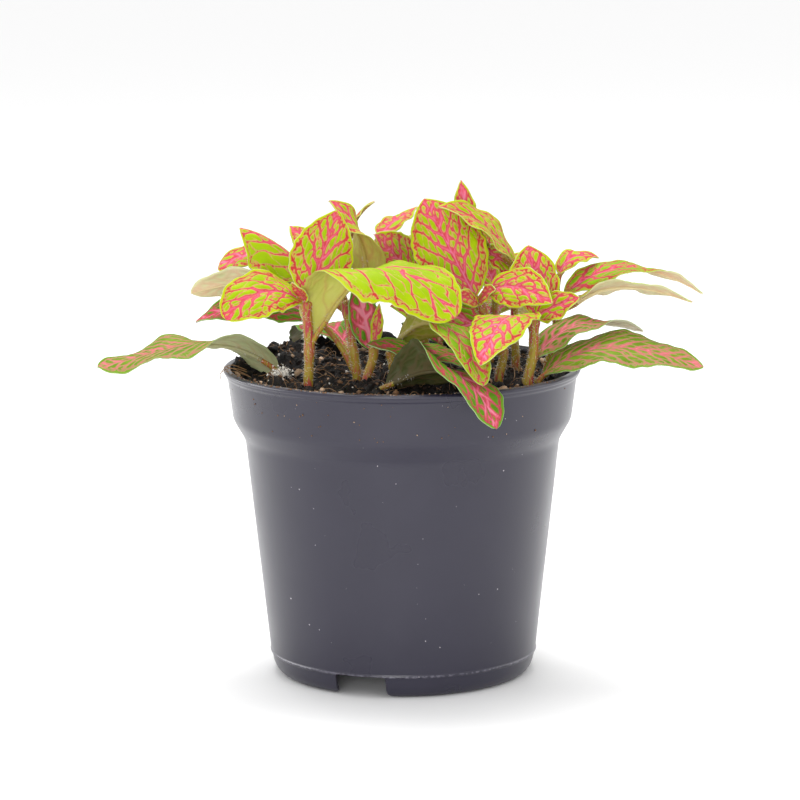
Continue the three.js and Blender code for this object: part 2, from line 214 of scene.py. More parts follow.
def grid_faces(rows, columns, closed=False):
    """Quads of a grid of points, rows by columns. Closed joins the last column to the first."""
    i, j = np.meshgrid(np.arange(rows - 1), np.arange(columns if closed else columns - 1), indexing="ij")
    after = (j + 1) % columns
    quads = [i * columns + j, i * columns + after, (i + 1) * columns + after, (i + 1) * columns + j]
    return np.stack(quads, -1).reshape(-1, 4)


def unit(vectors):
    """Vectors of the same directions, with length 1."""
    return vectors / np.maximum(np.linalg.norm(vectors, axis=-1, keepdims=True), 1e-9)


def waves(points, wavelength, seed, count=7):
    """Smooth seeded noise of about -1 to 1: crossing sine waves of about that wavelength."""
    draw = default_rng(seed)
    heading = unit(draw.normal(size=(count, points.shape[-1])))
    pace = 2 * np.pi / wavelength * draw.uniform(0.7, 1.6, (count, 1))
    crossing = np.sin(points @ (heading * pace).T + draw.uniform(0, 6.28, count))
    return crossing.sum(-1) / math.sqrt(count) / 1.2


def tube(path, radii, sides):
    """Points and quads of a tube along a path, drawn to a point at both ends."""
    path = np.asarray(path, float)
    forward = unit(np.gradient(path, axis=0))
    side = unit(np.cross(forward, [0.31, 0.95, 0.05]))
    up = np.cross(side, forward)
    turn = 2 * np.pi * np.arange(sides) / sides
    ring = np.cos(turn)[None, :, None] * side[:, None] + np.sin(turn)[None, :, None] * up[:, None]
    points = path[:, None] + ring * np.broadcast_to(radii, len(path))[:, None, None]
    start = path[:1, None] + 0.01 * ring[:1]
    end = path[-1:, None] + 0.01 * ring[-1:]
    points = np.concatenate([start, points, end])
    return points.reshape(-1, 3), grid_faces(len(points), sides, closed=True)[:, ::-1]


# %% [markdown]
# ## The plant, stem by stem
# Each stem leaves the soil at its foot and passes a few points on its way up. Each leaf starts at
# its base on the stem and ends at its tip; arch lifts the midrib between them, roll turns the
# blade about the midrib, fold lifts or drops the two halves, and curl bends their edges down.
# These are the numbers of the solids in the frame, so every leaf keeps its place and bend.
# The rest is for the net of veins: row is how far apart the side veins are, slant how steeply they
# leave the midrib, net how long a cell between them is, whole the share of the cell walls that run
# right through, and pink how wide the veins are. pale is how far the back turns to its pale
# colour. Lengths are in millimetres and angles in degrees.

# %% The leaves
def leaf(base, tip, width, arch, roll, **more):
    """One leaf, with the usual value for all that isn't given."""
    usual = dict(fold=(12, 8), curl=0.22, petiole=0.05, peak=0.42, ends=1.6, heading=None,
                 wave=0.1, age="young", net=2.5, pink=1, row=3.3, slant=1.05, pale=0, whole=0.78)
    made = dict(usual, base=base, tip=tip, width=width, arch=arch, roll=roll, **more)
    made.setdefault("fold_left", made["fold"])
    made.setdefault("curl_left", made["curl"])
    return made


SOIL_TOP = 101

# For each node: the stem's foot, its radius, places on its way up, and its leaves.
STEMS = {}
STEMS["stem_front_left"] = ((-31, -26), 1.8, [(-30.5, -26, 115), (-31.5, -26, 130)], [
    leaf((-31.5, -26, 129), (-57, -42, 126), 19, (8.5, 9), 42, peak=0.52, ends=1.1, net=2.9, pink=0.8),
    leaf((-30.5, -26, 114), (17, -48, 127), 35, (19, 35), (42, 50, 28, -15, -45), petiole=0.07,
         fold=(60, 40, 5, 0, 0), fold_left=(60, 70, 30, 0, 0), curl=(0.1, 0.4, 0.8, 0.4, 0.2),
         curl_left=0.15, ends=0.8, net=5, pink=0.85, row=6.5, whole=0.35),
    leaf((-31.5, -26, 129), (-21, -15, 158.5), 21.5, (-3, -2), (-8, -5), heading=90, peak=0.45),
    leaf((-31.5, -27, 129), (-36, -34, 137), 6, (1, 1), 180, net=1.2, pink=0.35, row=1.6),
])
STEMS["stem_left"] = ((-15, -10), 1.6, [(-16.5, -10, 113), (-19, -6, 127)], [
    leaf((-19, -6, 127), (-54, -2, 151), 24, (0, 6), 35, fold=-45, fold_left=-25, petiole=0.35, ends=1.3,
         pink=0.65, net=6, row=3.4, slant=1.6, whole=0.6),
    leaf((-19, -6, 127), (-62, 12, 136), 13, (12, 14), 35, petiole=0.66, peak=0.55, ends=0.9, pink=1.4),
    leaf((-18.5, -6, 123), (-71, 6, 128), 14, (12, 8), (-55, -50), petiole=0.4, peak=0.55, age="grown",
         pale=0.9),
    leaf((-19, -5, 127), (-38, 18, 149), 10, (4, 4), 30, petiole=0.4),
])
STEMS["stem_middle_left"] = ((-12, -14), 1.6, [(-9.5, -12, 110), (-11.5, -8, 121), (-12.5, -4, 130)], [
    leaf((-12, -4, 130), (-24, -6, 160.5), 18, (6, 8), (-70, -50, 20, 50), petiole=0.1),
    leaf((-12, -4, 130), (5.5, 26, 154.5), 10, (16, 6), (-40, 20), petiole=0.4),
    leaf((-12, -3.5, 128), (-9, 14, 158), 7, (4, 14), 0, heading=0, petiole=0.55),
    leaf((-9.5, -13, 112), (-7.5, -17, 127.5), 5, (-1, -1), 0, heading=60, pink=0.5),
    # This leaf has the old skin for its darker colours, as painted shade, since it lies behind the others.
    leaf((-9.5, -12, 110), (-15.5, -9, 134), 11, (1, 1), 0, heading=95, age="old", pink=2),
])
STEMS["stem_front"] = ((-3, -12), 1.3, [(-4, -10.5, 111)], [
    leaf((-4, -10.5, 110), (26, -60, 107), 20, (19, 22), (75, 65, 0, -15), petiole=0.04,
         fold=(50, 45, 25, 30), fold_left=(50, 40, 5, 0), peak=0.5, ends=1.1, age="grown", net=5, pink=0.6,
         row=4.5, whole=0.4),
])
STEMS["stem_middle"] = ((32, -14), 1.7, [(33.5, -12, 111), (28.5, -12, 121), (25.5, -12, 127)], [
    leaf((25.5, -12, 127), (7.5, 2, 160), 25, (-2, 1), 5, heading=95, peak=0.5, pink=1.1),
    leaf((25.5, -12.5, 128), (49, -32, 129.5), 16, (8, 5), -50, petiole=0.15),
    leaf((25.5, -13.5, 126), (17.5, -21, 129.5), 7, (2, 2), 60, net=1.4, pink=0.4, row=1.6),
    leaf((25.5, -13.5, 126), (31, -21, 132.5), 7, (2, 2), -65, net=1.4, pink=0.4, row=1.6),
    # This leaf has the old skin for its darker colours, as painted shade, since it lies low under the
    # others.
    leaf((33, -12.5, 110.5), (-11.5, -37.5, 117), 16.5, (-5, 0), (10, 12, 22, 25), ends=1.2, age="old",
         pink=0.7),
    leaf((31, -11, 116), (-4, 1, 124), 18, (3, 4), (40, 50), age="grown", pink=1.3),
])
STEMS["stem_front_right"] = ((41.5, -20), 1.8, [(43.5, -18, 112), (43.5, -16, 122)], [
    leaf((45, -14.5, 121), (42, -8, 145.5), 18, (2, 3), 0, heading=110, peak=0.5),
    leaf((43, -16, 121), (58.5, -22, 130), 12, (2, 1), -50, petiole=0.1),
    leaf((42, -16, 120), (25, -62, 114), 21, (10, 13), (-5, 0), heading=-90, petiole=0.12, ends=1.3,
         net=3.6, pink=1.35, row=4),
])
STEMS["stem_top"] = ((38.5, 8), 1.5, [(38, 7, 119), (38.5, 3, 136)], [
    leaf((38.5, 2, 136), (12, -8, 158.5), 17, (5, 7), 32, fold=20, pink=0.7),
    leaf((38.5, 2, 135), (20, 4, 166), 8, (-4, -7), (30, 60), petiole=0.6, pink=1.3),
    leaf((38.5, 3, 133), (26.5, 0, 142), 13, (3, 3), 45, petiole=0.1, pink=1.2),
])
STEMS["stem_right"] = ((48.5, 2), 1.5, [(51, 0, 111), (52, 0, 120), (52, 0, 128)], [
    leaf((52, 0, 125.5), (101.5, 6, 127), 17, (15, 12), (-35, -20, 12, 20), age="grown", pale=1),
    leaf((52, -1, 120.5), (97, -6, 126), 16, (13, 8), (-10, 20, 22, 20), age="grown", pale=0.85),
    leaf((52, 1, 128), (66.5, 10, 139), 10, (10, 8), (-22, -15), petiole=0.2, peak=0.5),
])
STEMS["leaf_left"] = ((-40, -6), 1.3, [], [
    leaf((-40, -6, 101), (-101.5, -12, 106), 22, (21, 4), (-90, -12, 13, 15), petiole=0.03, peak=0.5,
         ends=1.3, wave=-0.2, age="faded", net=3.6, row=2.7, pink=0.7, pale=0.35, whole=0.65),
])
STEMS["leaf_back_left"] = ((-16, 0), 1.2, [], [
    leaf((-16, 0, 101), (-70, 14, 117), 22, (24, 17), (25, 42), fold_left=22, petiole=0.25, age="old",
         pink=1.3),
])
# This leaf's dark old back is painted shade, standing for the deep shade beneath it.
STEMS["leaf_front"] = ((-7.5, -32), 1.3, [], [
    leaf((-7.5, -32, 101), (30, -65.5, 94), 26, (11.5, 24), (70, 50, 0, -25), petiole=0.05,
         fold=(45, 35, 24, 25), fold_left=(45, 35, 0, -5), peak=0.5, ends=1.2, age="old", net=4, pink=1.5,
         row=4),
])
STEMS["leaf_right_upper"] = ((41, -12), 1.2, [], [
    leaf((41, -12, 101), (80.5, -8, 116.5), 15, (15, 13), (-30, -30, -5, 45), petiole=0.15, ends=1.3,
         age="faded", net=4, row=2.2, pink=0.9, pale=1),
])
STEMS["leaf_right_lower"] = ((45, -16), 1.3, [], [
    leaf((45, -16, 101), (99.5, -22, 106.5), 22, (16, 8), (-20, -22), petiole=0.04, peak=0.45, ends=1.25,
         age="faded", net=4, row=2.6, pink=0.75, whole=0.65),
])
STEMS["stem_back"] = ((7, 20), 1.7, [(8, 20.5, 117), (6, 19, 130)], [
    leaf((8, 20.5, 118), (-14, 58, 114), 24, (12, 10), 5, age="grown"),
    leaf((8, 20.5, 118), (26, 60, 120), 23, (10, 10), -5, age="grown"),
    leaf((6, 19, 127.5), (-9, -5, 149), 18, (0, 2), (55, 62), heading=180, pink=1.2),
    leaf((6, 19, 129), (12, 46, 146), 17, (4, 4), -10),
])
STEMS["stem_back_right"] = ((30, 26), 1.6, [(31, 27, 114), (33, 27, 126)], [
    leaf((31, 27, 115), (46, 66, 108), 21, (12, 10), 0, age="grown"),
    leaf((33, 27, 125), (46, 48, 134), 17, (4, 4), -20),
    leaf((33, 27, 125), (24, 26, 148), 15, (-2, 0), 0, heading=120),
])
STEMS["leaf_back"] = ((14, 40), 1.2, [], [
    leaf((14, 40, 101), (8, 67.6, 97), 22, (15, 14), 0, petiole=0.1, age="old"),
])
STEMS["leaf_back_corner"] = ((-17, 28), 1.2, [], [
    leaf((-17, 28, 101), (-38, 65, 100), 22, (17, 10), 0, petiole=0.1, age="old"),
])
print("leaves:", sum(len(leaves) for *_, leaves in STEMS.values()))

# %% [markdown]
# ## Leaf skin
# A leaf's face is a waxy, faintly hairy skin over green or lime tissue. A vein is pink in the
# middle and red at its border, with a soft wash of peach beside it, and turns redder towards the
# leaf's edge. The back is paler and duller. Thin tissue lets light through, so a translucent
# shader is mixed in. The colours follow the distance to the nearest vein, which every point of
# the mesh carries, and fine noise roughens the borders. Leaves of three ages share these two
# skins, with colours of their own. The old colours are darker partly as painted shade, and a
# fourth set is the old skin made paler, as painted light for old leaves that lie in full light.

# %% Leaf materials
# A ramp runs from 0.6 mm inside a vein to 0.6 mm outside it. These are the places on it of the
# vein's middle, the wash beside it, the inner half and the border.
VEIN_PLACES = (0.0, 0.66, 0.26, 0.46)


def thin_tissue(tree, skin, relief, strength, roughness, sheen, passing):
    """A skin with a fine relief that lets a share of the light pass through."""
    bump = add(tree, "Bump", {"Height": relief, "Strength": strength, "Distance": 0.00012})
    outside = add(tree, "BsdfPrincipled", {"Base Color": skin, "Roughness": roughness,
                                           "Specular IOR Level": sheen, "Normal": bump})
    through = add(tree, "BsdfTranslucent", {"Color": skin, "Normal": bump})
    return add(tree, "MixShader", [passing, outside, through])


def leaf_face(tree, place, island, island_deep, vein_stops, outer_stops, margin, blur):
    """The upper skin: islands between veins that turn redder outwards, and a plain margin."""
    vein_mm, edge_mm, reach = (add(tree, "Attribute", attribute_name=name).outputs["Fac"]
                               for name in ("vein", "edge", "reach"))
    ragged = add(tree, "TexNoise", {"Vector": place, "Scale": 900, "Detail": 2})  # 1.1 mm
    blotch = add(tree, "TexNoise", {"Vector": place, "Scale": 120, "Detail": 2})  # 8 mm
    shifted = add(tree, "Math", [ragged, 0.3, -0.15], operation="MULTIPLY_ADD")
    depth = add(tree, "Math", [vein_mm, shifted], operation="ADD")
    level = add(tree, "MapRange", [depth, -0.6, 0.6])
    inner = add(tree, "ValToRGB", {"Fac": level}, stops=list(zip(VEIN_PLACES, vein_stops)))
    outer = add(tree, "ValToRGB", {"Fac": level}, stops=list(zip(VEIN_PLACES, outer_stops)))
    far = add(tree, "MapRange", [reach, 0.25, 0.9], interpolation_type="SMOOTHSTEP")
    pink = add(tree, "Mix", {0: far, 6: inner, 7: outer})
    spread = add(tree, "MapRange", [blotch, 0.35, 0.65])
    green = add(tree, "Mix", {0: spread, 6: island, 7: island_deep})
    rim = add(tree, "MapRange", [edge_mm, 0.3, 1.6, 1, 0])
    tissue = add(tree, "Mix", {0: rim, 6: green, 7: margin})
    border = add(tree, "MapRange", [depth, 0, blur], interpolation_type="SMOOTHSTEP")
    marked = add(tree, "Mix", {0: border, 6: pink, 7: tissue})
    lip = add(tree, "MapRange", [edge_mm, 0, 0.35, 0.6, 0])
    skin = add(tree, "Mix", {0: lip, 6: marked, 7: "#E4EAC4"})
    grain = add(tree, "TexNoise", {"Vector": place, "Scale": 3500, "Detail": 1})  # 0.3 mm
    relief = add(tree, "Math", [border, grain], operation="ADD")
    return thin_tissue(tree, skin, relief, 0.4, 0.5, 0.12, 0.28)


def leaf_back(tree, place, tissue, tissue_pale, vein):
    """The underside: dull, paler on some leaves than on others, with the veins showing faintly."""
    vein_mm, pale_share = (add(tree, "Attribute", attribute_name=name).outputs["Fac"]
                           for name in ("vein", "pale"))
    blotch = add(tree, "TexNoise", {"Vector": place, "Scale": 150, "Detail": 3})  # 7 mm
    uneven = add(tree, "Math", [blotch, 0.5, -0.25], operation="MULTIPLY_ADD")
    amount = add(tree, "Math", [pale_share, uneven], operation="ADD", use_clamp=True)
    flesh = add(tree, "Mix", {0: amount, 6: tissue, 7: tissue_pale})
    border = add(tree, "MapRange", [vein_mm, -0.3, 0.3, 0.4, 0])
    skin = add(tree, "Mix", {0: border, 6: flesh, 7: vein})
    grain = add(tree, "TexNoise", {"Vector": place, "Scale": 2500, "Detail": 1})  # 0.4 mm
    return thin_tissue(tree, skin, grain, 0.3, 0.62, 0.2, 0.42)


# Each age has a face (tissue, deeper tissue, vein near the midrib, vein near the edge, margin, and
# the width of the wash in mm) and a back (tissue, faded tissue, vein). The colours of a vein stand
# in the order of VEIN_PLACES.
SKINS = {}
for age, face, back in (
    ("young", ("#B0CC04", "#A0C002", ("#F088A8", "#E8BC7C", "#E8607E", "#D84A54"),
               ("#DE5668", "#D8B468", "#D44048", "#C63636"), "#C4D00C", 0.42),
     ("#CECA68", "#EEE8B8", "#BC945C")),
    ("grown", ("#94BC12", "#80AE0C", ("#F084A4", "#D4AE6C", "#E45A78", "#CC4250"),
               ("#DA5464", "#C0A650", "#C63E4A", "#B83634"), "#AAC020", 0.4),
     ("#AEAE44", "#F4F2D0", "#E4CCA0")),
    # Old: darker green for age, and partly painted shade. The back tissue #53572C is darkened to paint in
    # the deep shade under the low leaves.
    ("old", ("#6C9C18", "#568A10", ("#F08EA2", "#B48C50", "#E46078", "#C44854"),
             ("#E06476", "#8C8C3C", "#CC4C5A", "#AC4642"), "#70A02C", 0.32),
     ("#53572C", "#CCCCB0", "#786048")),
    # Old leaves in full light: the old skin made paler and greyer, as painted light.
    ("faded", ("#80A024", "#6A8E1A", ("#F49EAE", "#C09E70", "#E87E8A", "#D07A70"),
               ("#E48488", "#B09E68", "#D67A7A", "#BC8266"), "#7CA428", 0.42),
     ("#A4AE68", "#E6E6D2", "#A89870")),
):
    SKINS[age] = (material(age + "_leaf_face", leaf_face, *face),
                  material(age + "_leaf_back", leaf_back, *back))

# %% [markdown]
# ## The net of veins
# Side veins leave the midrib at a steep angle, curve towards the tip and join near the margin.
# Between two of them lies a row of cells, parted by finer veins, some of which end halfway. This
# is worked out on the flat leaf: s runs along the midrib and x across it. The result is each
# point's distance to the border of the nearest vein, below zero inside a vein. A soft minimum
# joins the distances, which rounds the cells' corners and makes them ovals.

# %% Vein distances
def soft_minimum(fields, softness=0.11):
    """The least of several distances, with the corners where they meet rounded."""
    return -softness * np.log(sum(np.exp(-field / softness) for field in fields))


def cell_walls(across, along, side_gap, shape, width, draw):
    """Distance to the walls between the cells of one strip, from the nearest cell centres."""
    net, row = shape["net"], shape["row"]
    count = int(along.max() / net) + 3
    places = (np.arange(count) + draw.uniform(-0.28, 0.28, count)) * net
    lanes = [0.5] if row < 3.8 and draw.random() < 0.55 else [0.28, 0.72]
    centres = np.concatenate([np.stack([np.full(count, share) + draw.uniform(-0.13, 0.13, count),
                                        places + net * 0.5 * i], -1) for i, share in enumerate(lanes)])
    centres[:, 0] *= row
    gaps = np.stack([across, along], -1)[:, None] - centres[None]
    reach = (gaps ** 2).sum(-1)
    order = np.argsort(reach, axis=1)[:, :4]
    nearest = np.take_along_axis(reach, order, 1)
    walls = []
    for i in range(1, order.shape[1]):
        apart = np.linalg.norm(centres[order[:, 0]] - centres[order[:, i]], axis=1)
        pair = np.sin((order[:, 0] + order[:, i]) * 12.99 + order[:, 0] * order[:, i] * 78.2) * 43758.5
        whole = (pair - np.floor(pair)) < shape["whole"]
        spur = width * np.clip(1.2 - side_gap / 0.8, -1.5, 1)
        walls.append((nearest[:, i] - nearest[:, 0]) / (2 * apart) - np.where(whole, width, spur) / 2)
    return soft_minimum(walls)


def vein_distance(s, x, half, length, shape, seed):
    """Distance in mm to the nearest vein's border, for arrays of points on the flat leaf."""
    draw = default_rng(seed)
    flat = np.stack([s, x], -1)
    s_bent = s + 0.55 * waves(flat, 9, seed + 1) + 0.16 * waves(flat, 3, seed + 3)
    x_bent = x + 0.45 * waves(flat, 8, seed + 2)
    edge = half - np.abs(x) + 0.18 * waves(flat, 3.5, seed + 4)
    away = np.abs(x_bent)
    row, pink = shape["row"], shape["pink"]
    start, gain, bend = shape["slant"], 0.8, 0.02
    root = (s_bent - start * away - bend * away ** 2) / (1 + gain * away / length)
    slope = start + gain * root / length + 2 * bend * away
    steep = np.sqrt(1 + slope ** 2)
    pitch = row * math.sqrt(1 + (start + 0.5 * gain) ** 2)
    left = x < 0
    phase = root / pitch + np.where(left, 0.0, 0.4)
    side_gap = np.abs(phase - np.round(phase)) * pitch * (1 + gain * away / length) / steep
    reach = np.clip(away / np.maximum(half, 0.5), 0, 1)
    flush = 0.16 * pink * np.exp(-(away / 2.6) ** 2)

    midrib = np.abs(x) - pink * np.interp(s / length, [0, 0.15, 0.8, 1], [0.75, 0.6, 0.3, 0.1])
    sides = side_gap - pink * (0.4 - 0.24 * reach) - flush
    walls = np.full_like(s, 9.0)
    for here in (left, ~left):
        for k in np.unique(np.floor(phase[here])):
            chosen = here & (np.floor(phase) == k)
            walls[chosen] = cell_walls((phase[chosen] - k) * row, (away * steep)[chosen] * 0.8,
                                       side_gap[chosen], shape, 0.3 * pink, draw)
    walls = walls + 0.1 * pink * (reach - 0.4) - flush
    margin = 0.015 * shape["width"] + 0.2
    loop = np.abs(edge - margin - 1.3 - 0.6 * np.cos(2 * np.pi * phase)) - 0.12 * pink
    spur_gap = np.abs(((s_bent + 0.5 * away) / 1.4) % 1 - 0.5) * 1.4
    comb = spur_gap - 0.07 + 0.5 * np.maximum(edge - margin - 1.3, 0)
    comb += 0.12 * np.maximum(margin + 1 - edge, 0)
    merged = soft_minimum([midrib, sides, walls, loop, comb])
    fade = np.clip((margin + 0.3 - edge) / 0.4, 0, 1)
    return np.clip(merged, -1.5, 1.5) + 1.6 * fade * (1 - np.exp(-np.abs(x) / 1.5))


# %% [markdown]
# ## One leaf blade
# The blade is a fine grid bent along its midrib. The tissue between the veins bulges up, which
# gives the leaf its quilted look, and the margin is gently waved. The two faces meet in a thin
# edge. Points lie about 0.4 mm apart, because the finest veins are about that wide.

# %% Blade geometry
SPACING = 0.44  # between the points of a blade
THICKNESS = 0.42


def midrib(shape, u):
    """Points of the midrib and their directions, for an array of shares of its length."""
    start, end = np.array(shape["base"], float), np.array(shape["tip"], float)
    chord = end - start
    if shape["heading"] is None:
        side = unit(np.cross(chord, [0, 0, 1]))
    else:
        bearing = math.radians(shape["heading"])
        side = np.array([math.sin(bearing), -math.cos(bearing), 0])
    lift = unit(np.cross(side, chord))
    low = start + 0.33 * chord + shape["arch"][0] * lift
    high = start + 0.67 * chord + shape["arch"][1] * lift
    u = np.asarray(u)[..., None]
    w = 1 - u
    points = w ** 3 * start + 3 * w * w * u * low + 3 * w * u * u * high + u ** 3 * end
    ahead = w * w * (low - start) + 2 * w * u * (high - low) + u * u * (end - high)
    return points, unit(ahead), side


def keyed(keys, u):
    """A value that changes smoothly from base to tip, given at evenly spaced places, or only once."""
    keys = np.atleast_1d(keys)
    fine = np.interp(np.linspace(-0.1, 1.1, 241), np.linspace(0, 1, len(keys)), keys)
    blur = np.hanning(2 * int(60 / len(keys)) + 1)
    wide = np.pad(fine, len(blur) // 2, mode="edge")
    return np.interp(u, np.linspace(-0.1, 1.1, 241), np.convolve(wide, blur / blur.sum(), mode="valid"))


def outline(v, peak, ends):
    """Share of the full width along the blade: 1 at the peak, and the more ends, the more pointed."""
    a, b = ends * peak, ends * (1 - peak)
    return v ** a * (1 - v) ** b / (peak ** a * (1 - peak) ** b)


def blade(piece, shape, seed):
    """Adds a leaf blade. Returns which way its midrib faces, and at which shares of its length."""
    petiole = shape["petiole"]
    length = np.linalg.norm(np.subtract(shape["tip"], shape["base"])) * 1.1 * (1 - petiole)
    rows = int(length / SPACING) + 2
    columns = 2 * int(shape["width"] / SPACING / 2) + 3
    v = np.linspace(0, 1, rows)
    t = np.linspace(-1, 1, columns)
    u = petiole + (1 - petiole) * v
    centre, ahead, side = midrib(shape, u)
    s = np.concatenate([[0], np.cumsum(np.linalg.norm(np.diff(centre, axis=0), axis=1))])
    length = s[-1]

    level = unit(side - (ahead @ side)[:, None] * ahead)
    roll = -np.radians(keyed(shape["roll"], u))[:, None]
    across = level * np.cos(roll) + np.cross(ahead, level) * np.sin(roll)
    normal = np.cross(across, ahead)
    swell = outline(v, shape["peak"], shape["ends"])
    half = np.maximum(shape["width"] / 2 * swell * (1 + 0.02 * np.sin(s / 0.75 + seed)), 0.1)
    half[0] = 0.9

    grid = np.broadcast_to(t, (rows, columns))
    half_grid = np.broadcast_to(half[:, None], grid.shape)
    s_grid = np.broadcast_to(s[:, None], grid.shape)
    wide = half_grid * np.abs(grid)
    right = grid > 0
    fold, fold_left, curl, curl_left = (keyed(shape[name], u)[:, None]
                                        for name in ("fold", "fold_left", "curl", "curl_left"))
    lift = np.radians(np.where(right, fold, fold_left))
    ripple = shape["wave"] * shape["width"] / 2 * grid ** 2 * np.sqrt(swell)[:, None]
    ripple = ripple * np.sin(5 * np.pi * v[:, None] + np.where(right, 1.7, 0))
    crimp = 0.14 * np.abs(grid) ** 3 * np.sin(s_grid / 1.1 + np.where(right, seed, 2 * seed))
    vein = vein_distance(s_grid, half_grid * grid, half_grid, length, shape, seed)
    quilt = 0.32 * (1 - np.exp(-np.clip(vein, 0, None) / 0.5)) - 0.25 * np.exp(-(wide / 0.9) ** 2)
    height = wide * np.sin(lift) - np.where(right, curl, curl_left) * grid ** 2 * half_grid
    height += ripple + crimp + quilt * np.minimum(swell * 2, 1)[:, None]
    middle = centre[:, None] + across[:, None] * (half_grid * grid * np.cos(lift))[..., None]
    middle += normal[:, None] * height[..., None]

    facing = unit(np.cross(np.gradient(middle, axis=1), np.gradient(middle, axis=0)))
    thick = THICKNESS / 2 * np.sqrt(np.clip(1 - grid ** 20, 0, 1))
    thick[0] = thick[-1] = 0
    top = middle + facing * thick[..., None]
    under = middle - facing * thick[..., None]
    edge = half_grid - wide
    index = np.arange(rows * columns).reshape(rows, columns)
    inner = np.zeros((rows, columns), bool)
    inner[1:-1, 1:-1] = True
    below = index.copy()
    below[inner] = rows * columns + np.arange(inner.sum())
    faces = grid_faces(rows, columns)
    face_skin, back_skin = SKINS[shape["age"]]
    vein, reach, edge = (np.concatenate([values.ravel(), values[inner]])
                         for values in (vein, np.abs(grid), edge))
    piece.take(np.concatenate([top.reshape(-1, 3), under[inner]]), faces, face_skin,
               vein=vein, reach=reach, edge=edge, pale=shape["pale"])
    piece.faces.append(below.ravel()[faces][:, ::-1] + piece.count - rows * columns - inner.sum())
    piece.slots.append(np.full(len(faces), piece.materials.index(back_skin)))
    return facing[:, columns // 2], u


# %% [markdown]
# ## Stems, petioles and midribs
# Stems are juicy and a little bumpy, green with red streaks that thicken at the soil and near the
# top, and swollen where the leaves join. A petiole carries each blade and runs on as a ridge under
# the midrib. White hairs, a millimetre or two long, stand out all round.

# %% Stem material
def stem_skin(tree, place):
    """Green and tan skin with red streaks along the stem."""
    pink_share = add(tree, "Attribute", attribute_name="pink").outputs["Fac"]
    long_grain = add(tree, "Mapping", {"Vector": place, "Scale": (1, 1, 0.18)})
    streak = add(tree, "TexNoise", {"Vector": long_grain, "Scale": 1400, "Detail": 2})  # 0.7 mm
    blotch = add(tree, "TexNoise", {"Vector": place, "Scale": 200, "Detail": 2})  # 5 mm
    green = add(tree, "Mix", {0: blotch, 6: "#8C8C1C", 7: "#A47E34"})
    red = add(tree, "MapRange", [streak, 0.46, 0.6])
    amount = add(tree, "Math", [red, pink_share], operation="MULTIPLY")
    skin = add(tree, "Mix", {0: amount, 6: green, 7: "#A63A40"})
    bump = add(tree, "Bump", {"Height": streak, "Strength": 0.4, "Distance": 0.0003})
    return add(tree, "BsdfPrincipled", {"Base Color": skin, "Roughness": 0.45,
                                       "Specular IOR Level": 0.25, "Normal": bump})


def plain(tree, place, code, roughness):
    """One colour with a fine darker grain, for hairs, roots and crumbs."""
    grain = add(tree, "TexNoise", {"Vector": place, "Scale": 1500, "Detail": 2})  # 0.7 mm
    darker = [0.55 * part for part in colour(code)[:3]] + [1]
    shade = add(tree, "Mix", {0: grain, 6: code, 7: darker})
    return add(tree, "BsdfPrincipled", {"Base Color": shade, "Roughness": roughness})


STEM_SKIN = material("green_stem_skin", stem_skin)
HAIR = material("white_plant_hair", plain, "#F6F2EA", 0.6)


# %% Stem geometry
def smooth_path(knots, step=0.8):
    """A smooth path through a few points, with a point every step."""
    knots = np.array(knots, float)
    knots = np.concatenate([[2 * knots[0] - knots[1]], knots, [2 * knots[-1] - knots[-2]]])
    path = []
    for a, b, c, d in zip(knots, knots[1:], knots[2:], knots[3:]):
        count = max(2, int(np.linalg.norm(c - b) / step))
        w = np.linspace(0, 1, count, endpoint=False)[:, None]
        path.append(b + 0.5 * w * (c - a + w * (2 * a - 5 * b + 4 * c - d + w * (3 * (b - c) + d - a))))
    return np.concatenate(path + [knots[-2][None]])


def hairs(piece, places, outward, draw, length=1.3):
    """Short fine hairs that stand out from the given places."""
    lean = unit(outward + 0.5 * draw.normal(size=outward.shape))
    reach = length * draw.uniform(0.5, 1.3, (len(places), 1))
    side = unit(np.cross(lean, draw.normal(size=lean.shape))) * 0.06
    other = unit(np.cross(lean, side)) * 0.06
    droop = np.array([0, 0, -0.15]) * reach
    points = np.stack([places + side, places - 0.5 * side + other, places - 0.5 * side - other,
                       places + lean * reach + droop], 1)
    first = 4 * np.arange(len(places))[:, None]
    faces = np.concatenate([first + [0, 1, 3], first + [1, 2, 3], first + [2, 0, 3]])
    piece.take(points, faces, HAIR)


def fuzz(piece, path, radii, per_mm, draw, length=1.3):
    """Hairs all round a stem, whose path has a point about every 0.8 mm."""
    count = int(len(path) * 0.8 * per_mm)
    at = draw.uniform(0, len(path) - 1.01, count)
    low = at.astype(int)
    share = (at - low)[:, None]
    centre = path[low] * (1 - share) + path[low + 1] * share
    outward = draw.normal(size=(count, 3))
    forward = unit(path[low + 1] - path[low])
    outward = unit(outward - (outward * forward).sum(-1, keepdims=True) * forward)
    hairs(piece, centre + outward * np.asarray(radii)[low][:, None] * 0.95, outward, draw, length)


